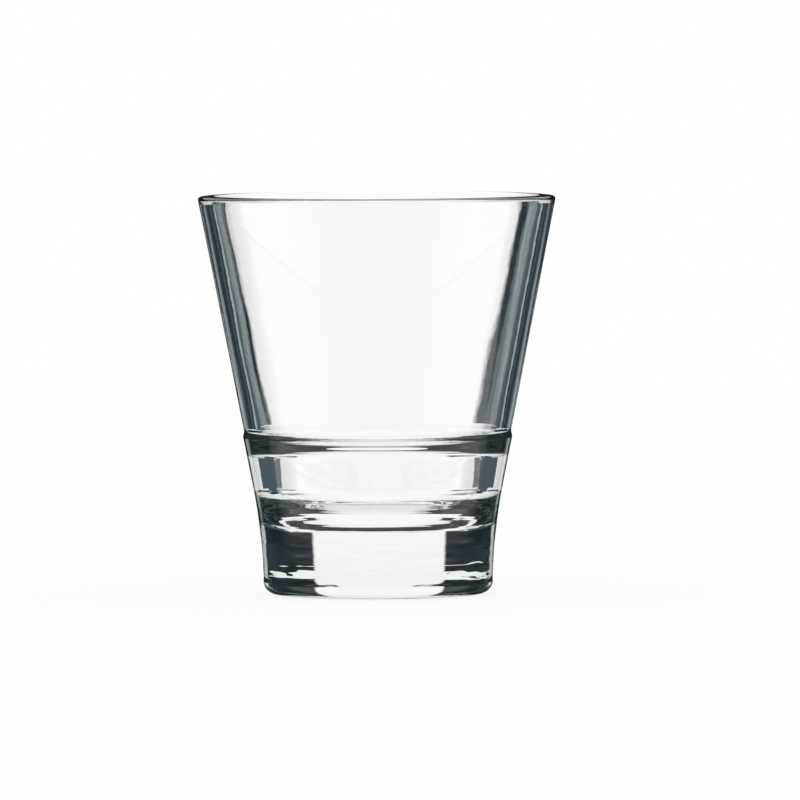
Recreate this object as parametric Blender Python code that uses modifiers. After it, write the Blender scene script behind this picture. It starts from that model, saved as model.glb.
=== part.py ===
"""Rocks glass: one turned piece of clear pressed glass. Metres, standing on its base at the origin, +Z up."""

import math

import bpy
from mathutils import Vector

# The outside of the bowl. The rim's diameter is where the wall's slope meets the rim's top, which falls outwards.
HEIGHT = 0.0955
RIM_DIAMETER = 0.0859
RIM_WALL = 0.0034
RIM_FALL = 0.0004
RIM_ROUND = 0.0008

# The soft step around the outside, which is where the bowl ends and the base begins.
STEP_DIAMETER = 0.0646
STEP_HEIGHT = 0.0377
STEP_OUT = 0.0003
STEP_FALL = 0.0013
STEP_ROUND = 0.0015

# The base: it narrows to a waist and then runs almost straight down to the foot.
WAIST_DIAMETER = 0.0552
WAIST_HEIGHT = 0.0140
WAIST_ROUND = 0.115
FOOT_DIAMETER = 0.0550
FOOT_ROUND = 0.0030

# The underside: a flat bearing ring around a shallow hollow.
RING_WIDTH = 0.0049
HOLLOW_RISE = 0.0010
HOLLOW_RUN = 0.0025
HOLLOW_ROUND = 0.0006

# The inside: the well over the solid base, and the ledge that carries the foot of a glass stacked in this one.
BASE_THICKNESS = 0.0163
WELL_TAPER = 0.0020
WELL_ROUND = 0.0115
LEDGE_HEIGHT = 0.0374
LEDGE_WIDTH = 0.0026
LEDGE_FALL = 0.0023
LEDGE_ROUND = 0.0035
STACK_CLEARANCE = 0.0003

# How finely the round shapes are cut into flats.
TURN_STEPS = 64
ARC_SAG = 0.00002
AXIS_MERGE = 0.00001


def rounded(corners):
    """The outline through the corners, each given as radius, height and the radius it is rounded to."""
    points = []
    for i, (r, z, rounding) in enumerate(corners):
        corner = Vector((r, z))
        if rounding == 0:
            points.append(corner)
            continue
        back = (Vector(corners[i - 1][:2]) - corner).normalized()
        ahead = (Vector(corners[i + 1][:2]) - corner).normalized()
        half = back.angle(ahead) / 2
        centre = corner + (back + ahead).normalized() * rounding / math.sin(half)
        start = corner + back * rounding / math.tan(half) - centre
        end = corner + ahead * rounding / math.tan(half) - centre
        turn = math.pi - 2 * half
        if start.cross(end) < 0:
            turn = -turn
        count = math.ceil(abs(turn) / (2 * math.acos(1 - ARC_SAG / rounding)))
        for k in range(count + 1):
            c, s = math.cos(turn * k / count), math.sin(turn * k / count)
            points.append(centre + Vector((start.x * c - start.y * s, start.x * s + start.y * c)))
    return points


for old in list(bpy.data.objects):
    bpy.data.objects.remove(old)

foot_radius = FOOT_DIAMETER / 2
ring_inner = foot_radius - RING_WIDTH
ledge_radius = foot_radius + STACK_CLEARANCE
mouth_radius = ledge_radius - LEDGE_WIDTH

outline = rounded([
    (0, BASE_THICKNESS, 0),
    (mouth_radius - WELL_TAPER, BASE_THICKNESS, WELL_ROUND),
    (mouth_radius, LEDGE_HEIGHT - LEDGE_FALL, LEDGE_ROUND),
    (ledge_radius, LEDGE_HEIGHT, LEDGE_ROUND),
    (RIM_DIAMETER / 2 - RIM_WALL, HEIGHT, RIM_ROUND),
    (RIM_DIAMETER / 2, HEIGHT - RIM_FALL, RIM_ROUND),
    (STEP_DIAMETER / 2 - STEP_OUT, STEP_HEIGHT + STEP_FALL, STEP_ROUND),
    (STEP_DIAMETER / 2, STEP_HEIGHT, STEP_ROUND),
    (WAIST_DIAMETER / 2, WAIST_HEIGHT, WAIST_ROUND),
    (foot_radius, 0, FOOT_ROUND),
    (ring_inner, 0, HOLLOW_ROUND),
    (ring_inner - HOLLOW_RUN, HOLLOW_RISE, HOLLOW_ROUND),
    (0, HOLLOW_RISE, 0),
])

mesh = bpy.data.meshes.new("tumbler")
mesh.from_pydata([(p.x, 0, p.y) for p in outline], [(i, i + 1) for i in range(len(outline) - 1)], [])
tumbler = bpy.data.objects.new("tumbler", mesh)

collection = bpy.data.collections.new("rocks_glass")
bpy.context.scene.collection.children.link(collection)
collection.objects.link(tumbler)

turned = tumbler.modifiers.new("turned", "SCREW")
turned.axis = "Z"
turned.steps = TURN_STEPS
turned.render_steps = TURN_STEPS
turned.use_merge_vertices = True
turned.merge_threshold = AXIS_MERGE
turned.use_smooth_shade = True

clear = bpy.data.materials.new("clear_glass")
clear.use_nodes = True
surface = clear.node_tree.nodes["Principled BSDF"]
surface.inputs["Base Color"].default_value = (0.93, 0.97, 0.96, 1)
surface.inputs["Roughness"].default_value = 0.02
surface.inputs["IOR"].default_value = 1.52
surface.inputs["Transmission Weight"].default_value = 1
mesh.materials.append(clear)
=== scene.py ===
import math

import bmesh
import bpy
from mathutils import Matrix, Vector, noise


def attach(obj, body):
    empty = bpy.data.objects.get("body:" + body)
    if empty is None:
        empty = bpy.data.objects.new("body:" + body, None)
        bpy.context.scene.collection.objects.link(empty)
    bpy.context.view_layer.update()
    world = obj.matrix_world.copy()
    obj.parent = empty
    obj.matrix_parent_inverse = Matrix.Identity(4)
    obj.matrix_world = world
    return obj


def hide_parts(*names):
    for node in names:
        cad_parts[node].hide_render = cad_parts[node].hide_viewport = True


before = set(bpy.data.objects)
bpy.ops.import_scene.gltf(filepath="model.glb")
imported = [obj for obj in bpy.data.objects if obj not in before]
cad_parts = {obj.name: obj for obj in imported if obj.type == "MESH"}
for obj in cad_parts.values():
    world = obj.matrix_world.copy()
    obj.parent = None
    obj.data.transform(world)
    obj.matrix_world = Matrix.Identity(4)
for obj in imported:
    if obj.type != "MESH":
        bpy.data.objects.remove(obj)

scene = bpy.context.scene
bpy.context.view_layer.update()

# Tumbler. The whole glass is one piece of clear soda-lime glass, pressed in a mould by a plunger and then
# fire-polished, so every corner is soft and the walls are a little wavy. Its outline is a row of corners, each
# rounded to its own radius, turned about the axis.
HEIGHT = 0.0955
RIM_RADIUS = 0.04295
RIM_WALL = 0.0034
RIM_FALL = 0.0004
RIM_ROUND = 0.0008
STEP_RADIUS = 0.0323
STEP_HEIGHT = 0.0377
STEP_OUT = 0.0003
STEP_TOP = 0.0390
STEP_ROUND = 0.0015
WAIST_RADIUS = 0.0276
WAIST_HEIGHT = 0.0140
WAIST_ROUND = 0.115
FOOT_RADIUS = 0.0275
FOOT_ROUND = 0.0030
BEARING_WIDTH = 0.0049
HOLLOW_INSET = 0.0074
HOLLOW_RISE = 0.0010
HOLLOW_ROUND = 0.0006
BASE_THICKNESS = 0.0163
WELL_RADIUS = 0.0232
WELL_ROUND = 0.0115
WELL_CORNER = 1
MOUTH_RADIUS = 0.0252
MOUTH_HEIGHT = 0.0351
LEDGE_HEIGHT = 0.0374
LEDGE_ROUND = 0.0035
STACK_CLEARANCE = 0.0003
OUTLINE = [  # radius, height, rounding
    (0, BASE_THICKNESS, 0),
    (WELL_RADIUS, BASE_THICKNESS, WELL_ROUND),
    (MOUTH_RADIUS, MOUTH_HEIGHT, LEDGE_ROUND),
    (FOOT_RADIUS + STACK_CLEARANCE, LEDGE_HEIGHT, LEDGE_ROUND),
    (RIM_RADIUS - RIM_WALL, HEIGHT, RIM_ROUND),
    (RIM_RADIUS, HEIGHT - RIM_FALL, RIM_ROUND),
    (STEP_RADIUS - STEP_OUT, STEP_TOP, STEP_ROUND),
    (STEP_RADIUS, STEP_HEIGHT, STEP_ROUND),
    (WAIST_RADIUS, WAIST_HEIGHT, WAIST_ROUND),
    (FOOT_RADIUS, 0, FOOT_ROUND),
    (FOOT_RADIUS - BEARING_WIDTH, 0, HOLLOW_ROUND),
    (FOOT_RADIUS - HOLLOW_INSET, HOLLOW_RISE, HOLLOW_ROUND),
    (0, HOLLOW_RISE, 0),
]
ROUNDING_STEPS = 12
WELL_STEPS = 96
ROW_SPACING = 0.0016
RIPPLE_SPACING = 0.0004
TURN_STEPS = 224
AXIS_MERGE = 1e-7

glass = bmesh.new()
corners = [glass.verts.new((r, 0, z)) for r, z, _ in OUTLINE]
for a, b in zip(corners[:-1], corners[1:]):
    glass.edges.new((a, b))
for i in range(1, len(OUTLINE) - 1):
    back = Vector(OUTLINE[i - 1][:2]) - Vector(OUTLINE[i][:2])
    ahead = Vector(OUTLINE[i + 1][:2]) - Vector(OUTLINE[i][:2])
    reach = OUTLINE[i][2] / math.tan(back.angle(ahead) / 2)
    bmesh.ops.bevel(glass, geom=[corners[i]], offset=reach, offset_type="OFFSET", affect="VERTICES",
                    segments=WELL_STEPS if i == WELL_CORNER else ROUNDING_STEPS, profile=0.5, material=-1)

# The outside of the base gets close rows, because it carries ripples.
BASE_EDGE = FOOT_RADIUS - 0.002
for edge in glass.edges[:]:
    on_base = all(v.co.x > BASE_EDGE and v.co.z < STEP_HEIGHT for v in edge.verts)
    cuts = int(edge.calc_length() / (RIPPLE_SPACING if on_base else ROW_SPACING))
    if cuts:
        bmesh.ops.subdivide_edges(glass, edges=[edge], cuts=cuts)
bmesh.ops.spin(glass, geom=glass.verts[:] + glass.edges[:], cent=(0, 0, 0), axis=(0, 0, 1),
               angle=2 * math.pi, steps=TURN_STEPS, use_merge=True)
bmesh.ops.remove_doubles(glass, verts=glass.verts, dist=AXIS_MERGE)
bmesh.ops.recalc_face_normals(glass, faces=glass.faces)
glass.normal_update()

# Soft waves all over, where the hot glass gave way.
WAVE_DEPTH = 0.00008
WAVE_LENGTH = 0.014

# Flat ripples around the base, from the mould. They calm down above the foot and end under the step.
RIPPLE_DEPTH = 0.00008
RIPPLE_WIDTH = 0.012
RIPPLE_HEIGHT = 0.0017
RIPPLE_CALM_HEIGHT = 0.019
RIPPLE_CALM_RUN = 0.006
RIPPLE_CALM_SHARE = 0.3
RIPPLE_END_HEIGHT = 0.036
RIPPLE_END_RUN = 0.008

# Faint rings in the rounded corner of the well, from the plunger. They are spaced by the angle around the rounding.
RING_DEPTH = 0.00002
RING_SPACING = 0.11
RING_CENTRE_RADIUS = 0.0124
RING_CENTRE_HEIGHT = 0.0278
RING_WANDER = 0.03
RING_WANDER_LENGTH = 0.016
RING_START = -0.2
RING_END = 1.35
RING_FADE = 0.3
WELL_REACH = 0.0245
WELL_UNDER = BASE_THICKNESS - 0.0002

for vert in glass.verts:
    x, y, z = vert.co
    radius = math.hypot(x, y)
    sink = WAVE_DEPTH * (0.5 + 0.5 * noise.noise(vert.co / WAVE_LENGTH))
    if radius > BASE_EDGE and z < RIPPLE_END_HEIGHT:
        ripple = noise.fractal((x / RIPPLE_WIDTH, y / RIPPLE_WIDTH, z / RIPPLE_HEIGHT), 0.8, 2, 3)
        ripple = max(-1, min(1, ripple))
        calm = max(RIPPLE_CALM_SHARE, min(1, (RIPPLE_CALM_HEIGHT - z) / RIPPLE_CALM_RUN))
        ending = min(1, (RIPPLE_END_HEIGHT - z) / RIPPLE_END_RUN)
        sink += RIPPLE_DEPTH * (0.5 + 0.5 * ripple) * calm * ending
    elif radius < WELL_REACH and z > WELL_UNDER:
        turn = math.atan2(radius - RING_CENTRE_RADIUS, RING_CENTRE_HEIGHT - z)
        turn += RING_WANDER * noise.noise(vert.co / RING_WANDER_LENGTH)
        fade = max(0, min(1, (turn - RING_START) / RING_FADE, (RING_END - turn) / RING_FADE))
        sink += RING_DEPTH * (0.5 + 0.5 * math.sin(2 * math.pi * turn / RING_SPACING)) * fade
    vert.co -= vert.normal * sink
for face in glass.faces:
    face.smooth = True

tumbler_mesh = bpy.data.meshes.new("tumbler_glass")
glass.to_mesh(tumbler_mesh)
glass.free()
tumbler = bpy.data.objects.new("tumbler_glass", tumbler_mesh)
scene.collection.objects.link(tumbler)

clear_glass = bpy.data.materials.new("clear_glass")
clear_glass.use_nodes = True
nodes = clear_glass.node_tree.nodes
link = clear_glass.node_tree.links.new
surface = nodes["Principled BSDF"]
surface.inputs["IOR"].default_value = 1.515
surface.inputs["Transmission Weight"].default_value = 1
place = nodes.new("ShaderNodeTexCoord").outputs["Object"]

# The tint and the polish vary a little together, in slow swirls.
swirl = nodes.new("ShaderNodeTexNoise")
swirl.inputs["Scale"].default_value = 70
swirl.inputs["Detail"].default_value = 3
link(place, swirl.inputs["Vector"])
tint = nodes.new("ShaderNodeMix")
tint.data_type = "RGBA"
tint.inputs[6].default_value = (1, 1, 1, 1)
tint.inputs[7].default_value = (0.985, 0.993, 0.99, 1)
link(swirl.outputs[0], tint.inputs[0])
link(tint.outputs[2], surface.inputs["Base Color"])
polish = nodes.new("ShaderNodeMapRange")
polish.inputs["From Min"].default_value = 0.35
polish.inputs["From Max"].default_value = 0.75
polish.inputs["To Min"].default_value = 0.002
polish.inputs["To Max"].default_value = 0.03
link(swirl.outputs[0], polish.inputs["Value"])
link(polish.outputs[0], surface.inputs["Roughness"])

# The skin is a fine unevenness that fire-polishing leaves, and the body is faintly green-blue where it is thick.
grain = nodes.new("ShaderNodeTexNoise")
grain.inputs["Scale"].default_value = 350
link(place, grain.inputs["Vector"])
skin = nodes.new("ShaderNodeBump")
skin.inputs["Strength"].default_value = 0.2
skin.inputs["Distance"].default_value = 0.00003
link(grain.outputs[0], skin.inputs["Height"])
link(skin.outputs[0], surface.inputs["Normal"])
body = nodes.new("ShaderNodeVolumeAbsorption")
body.inputs["Color"].default_value = (0.55, 0.70, 0.70, 1)
body.inputs["Density"].default_value = 2
link(body.outputs[0], nodes["Material Output"].inputs["Volume"])
tumbler_mesh.materials.append(clear_glass)

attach(tumbler, "root")
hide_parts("tumbler")

# Floor. A plain white table that the glass stands on, matt all over. Most of its white is a glow that only the
# camera sees, so the glass's shadow on it stays faint. The glass itself shows the studio's floor instead.
FLOOR_RADIUS = 1.2
FLOOR_HEIGHT = -0.0002
FLOOR_GREY = 0.20
FLOOR_GLOW = 0.795

floor_shape = bmesh.new()
bmesh.ops.create_circle(floor_shape, cap_ends=True, segments=96, radius=FLOOR_RADIUS)
floor_mesh = bpy.data.meshes.new("floor")
floor_shape.to_mesh(floor_mesh)
floor_shape.free()
floor = bpy.data.objects.new("floor", floor_mesh)
floor.location.z = FLOOR_HEIGHT
floor.visible_transmission = False
floor.visible_glossy = False
scene.collection.objects.link(floor)
floor_white = bpy.data.materials.new("floor_white")
floor_white.use_nodes = True
table = floor_white.node_tree.nodes["Principled BSDF"]
table.inputs["Base Color"].default_value = (FLOOR_GREY, FLOOR_GREY, FLOOR_GREY, 1)
table.inputs["Roughness"].default_value = 1
table.inputs["Specular IOR Level"].default_value = 0
table.inputs["Emission Color"].default_value = (1, 1, 1, 1)
seen_by = floor_white.node_tree.nodes.new("ShaderNodeLightPath")
glow = floor_white.node_tree.nodes.new("ShaderNodeMath")
glow.operation = "MULTIPLY"
glow.inputs[1].default_value = FLOOR_GLOW
floor_white.node_tree.links.new(seen_by.outputs["Is Camera Ray"], glow.inputs[0])
floor_white.node_tree.links.new(glow.outputs[0], table.inputs["Emission Strength"])
floor_mesh.materials.append(floor_white)

# Studio. White everywhere for the floor and the camera. The glass shows a white backdrop with black flags beside
# it, which draw its edges, a leaning card under the horizon and a white floor. Light that was reflected in the
# glass meets darker copies of these, which give the dark lines and streaks.
TURN = 0.7
CARD_TURN = 2.1
FLAG_TURN = 3.0
CARD_REPEAT = 0.25
CARD_LEAN = 0.675
HORIZON = (-1.15, -0.75)
CARD_TOP = (-0.5, -0.1)
CARD_FOOT = (-5.0, -4.6)
BACKDROP = 24.3
FLAG = 24.9
BLACK = (0.012, 0.020, 0.025)
DUSK = (0.10, 0.12, 0.125)
SLATE = (0.075, 0.105, 0.125)
GREY = (0.19, 0.23, 0.24)
MIST = (0.42, 0.50, 0.52)
PALE = (0.70, 0.82, 0.85)
WHITE = (1, 1, 1)

studio = bpy.data.worlds.new("studio")
studio.use_nodes = True
scene.world = studio
nodes = studio.node_tree.nodes
link = studio.node_tree.links.new


def put(value, socket):
    if isinstance(value, bpy.types.NodeSocket):
        link(value, socket)
    else:
        socket.default_value = value if isinstance(value, float) else (*value, 1)


def math_node(operation, a, b=0.0):
    node = nodes.new("ShaderNodeMath")
    node.operation = operation
    put(a, node.inputs[0])
    put(b, node.inputs[1])
    return node.outputs[0]


def blend(amount, a, b):
    node = nodes.new("ShaderNodeMix")
    node.data_type = "RGBA"
    put(amount, node.inputs[0])
    put(a, node.inputs[6])
    put(b, node.inputs[7])
    return node.outputs[2]


def around(angle, *stops):
    """Colours around the glass, each at its angle in degrees to the left or right of straight behind it."""
    node = nodes.new("ShaderNodeValToRGB")
    for _ in stops[2:]:
        node.color_ramp.elements.new(0.5)
    for element, (angle_at, colour) in zip(node.color_ramp.elements, stops):
        element.position = angle_at / 180
        element.color = (*colour, 1)
    link(angle, node.inputs[0])
    return node.outputs[0]


def above(level, start, end):
    """0 below the first angle over the horizon and 1 above the second."""
    node = nodes.new("ShaderNodeMapRange")
    node.interpolation_type = "SMOOTHSTEP"
    node.inputs["From Min"].default_value = math.sin(math.radians(start))
    node.inputs["From Max"].default_value = math.sin(math.radians(end))
    link(level, node.inputs["Value"])
    return node.outputs[0]


# Bearings run from 0 straight behind the glass to 1 straight before it. The card repeats every quarter turn.
axes = nodes.new("ShaderNodeSeparateXYZ")
link(nodes.new("ShaderNodeTexCoord").outputs["Generated"], axes.inputs[0])
height = axes.outputs["Z"]
heading = math_node("DIVIDE", math_node("ARCTAN2", axes.outputs["X"], axes.outputs["Y"]), math.pi)
bearing = math_node("ABSOLUTE", math_node("ADD", heading, TURN / 180))
card_bearing = math_node("ABSOLUTE", math_node("ADD", heading, CARD_TURN / 180))
flag_bearing = math_node("ABSOLUTE", math_node("SUBTRACT", heading, FLAG_TURN / 180))
card_fold = math_node("PINGPONG", card_bearing, CARD_REPEAT)
card = math_node("ADD", height, math_node("MULTIPLY", card_fold, CARD_LEAN))
ray = nodes.new("ShaderNodeLightPath").outputs

# What light shows that only passes through the glass.
seen_floor = around(bearing, (0, WHITE), (6, WHITE), (11, GREY), (33, GREY), (38, WHITE), (52, WHITE), (57, GREY),
                    (79, GREY), (84, WHITE), (96, WHITE), (101, GREY), (123, GREY), (128, WHITE), (142, WHITE),
                    (147, GREY), (169, GREY), (174, WHITE), (180, WHITE))
seen_card = around(card_fold, (0, WHITE), (11.0, WHITE), (11.5, BLACK), (14.0, BLACK), (15.0, GREY), (38.5, GREY),
                   (40.5, WHITE), (45, WHITE))
seen_backdrop = around(bearing, (0, WHITE), (BACKDROP, WHITE), (FLAG, BLACK), (68, BLACK), (72, WHITE),
                       (108, WHITE), (112, BLACK), (152, BLACK), (158, WHITE), (180, WHITE))
seen = blend(above(height, -30, -27), WHITE, seen_floor)
seen = blend(above(height, -20, -17), seen, WHITE)
seen = blend(above(card, *CARD_FOOT), seen, seen_card)
seen = blend(above(card, *CARD_TOP), seen, WHITE)
seen = blend(above(height, *HORIZON), seen, seen_backdrop)

# What light shows that was reflected once in the glass.
once_floor = around(flag_bearing, (0, WHITE), (34, WHITE), (40, BLACK), (61, BLACK), (64, WHITE), (180, WHITE))
once_near = around(bearing, (0, BLACK), (11, BLACK), (18, WHITE), (180, WHITE))
once_card = around(card_fold, (0, WHITE), (3, WHITE), (6, DUSK), (11, BLACK), (15, BLACK), (18, SLATE), (22, BLACK),
                   (27, BLACK), (30, SLATE), (33, BLACK), (34.2, BLACK), (35.2, MIST), (37.4, MIST), (38.6, SLATE),
                   (45, SLATE))
once_far = around(bearing, (0, WHITE), (36, WHITE), (38, SLATE), (60, SLATE), (66, BLACK), (180, BLACK))
once_backdrop = around(bearing, (0, WHITE), (BACKDROP, WHITE), (FLAG, SLATE), (72, SLATE), (78, BLACK), (180, BLACK))
once_over = around(bearing, (0, WHITE), (BACKDROP, WHITE), (FLAG, BLACK), (60, BLACK), (66, WHITE), (110, WHITE),
                   (150, GREY), (180, GREY))
once = blend(above(height, -21, -18), WHITE, once_floor)
once = blend(above(height, -9.5, -7.5), once, once_near)
once = blend(above(card, *CARD_FOOT), once, once_card)
once = blend(above(card, *CARD_TOP), once, once_far)
once = blend(above(height, *HORIZON), once, once_backdrop)
once = blend(above(height, 5, 8), once, once_over)
once = blend(above(height, 38, 50), once, PALE)

# What light shows that was reflected more often.
often_backdrop = around(bearing, (0, SLATE), (BACKDROP, SLATE), (FLAG, BLACK), (180, BLACK))
often = blend(above(height, -40, -5), BLACK, DUSK)
often = blend(above(height, *HORIZON), often, often_backdrop)
often = blend(above(height, 22, 30), often, BLACK)

# What the outside of the glass mirrors.
outside_floor = around(bearing, (0, BLACK), (66, BLACK), (84, WHITE), (180, WHITE))
outside_card = around(bearing, (0, DUSK), (16, DUSK), (20, PALE), (26, PALE), (32, BLACK), (180, BLACK))
outside = blend(above(height, -16, -8), outside_floor, outside_card)
outside = blend(above(height, -6.8, -5.6), outside, BLACK)
outside = blend(above(height, 10.5, 14.5), outside, WHITE)

shown = blend(math_node("GREATER_THAN", ray["Glossy Depth"], 0.5), seen, once)
shown = blend(math_node("GREATER_THAN", ray["Glossy Depth"], 1.5), shown, often)
shown = blend(math_node("LESS_THAN", ray["Transmission Depth"], 0.5), shown, outside)
through_glass = math_node("MAXIMUM", ray["Is Glossy Ray"], ray["Is Transmission Ray"])
through_glass = math_node("SUBTRACT", through_glass, ray["Diffuse Depth"])
through_glass = math_node("GREATER_THAN", through_glass, 0.5)
link(blend(through_glass, WHITE, shown), nodes["Background"].inputs["Color"])

# Camera. A long lens almost level with the glass, which looks slightly down on it and leans a little to one side.
CAMERA_PLACE = (0.00539, -2.693, 0.1607)
CAMERA_DIP = 2.433
CAMERA_LEAN = -0.23

lens = bpy.data.cameras.new("camera")
lens.sensor_width = 36
lens.lens = 506.6
lens.clip_end = 20
camera = bpy.data.objects.new("camera", lens)
camera.location = CAMERA_PLACE
camera.rotation_mode = "ZYX"
camera.rotation_euler = (math.radians(90 - CAMERA_DIP), 0, math.radians(CAMERA_LEAN))
scene.collection.objects.link(camera)
scene.camera = camera

scene.view_settings.view_transform = "Standard"
scene.cycles.max_bounces = 32
scene.cycles.transmission_bounces = 32
scene.cycles.glossy_bounces = 32
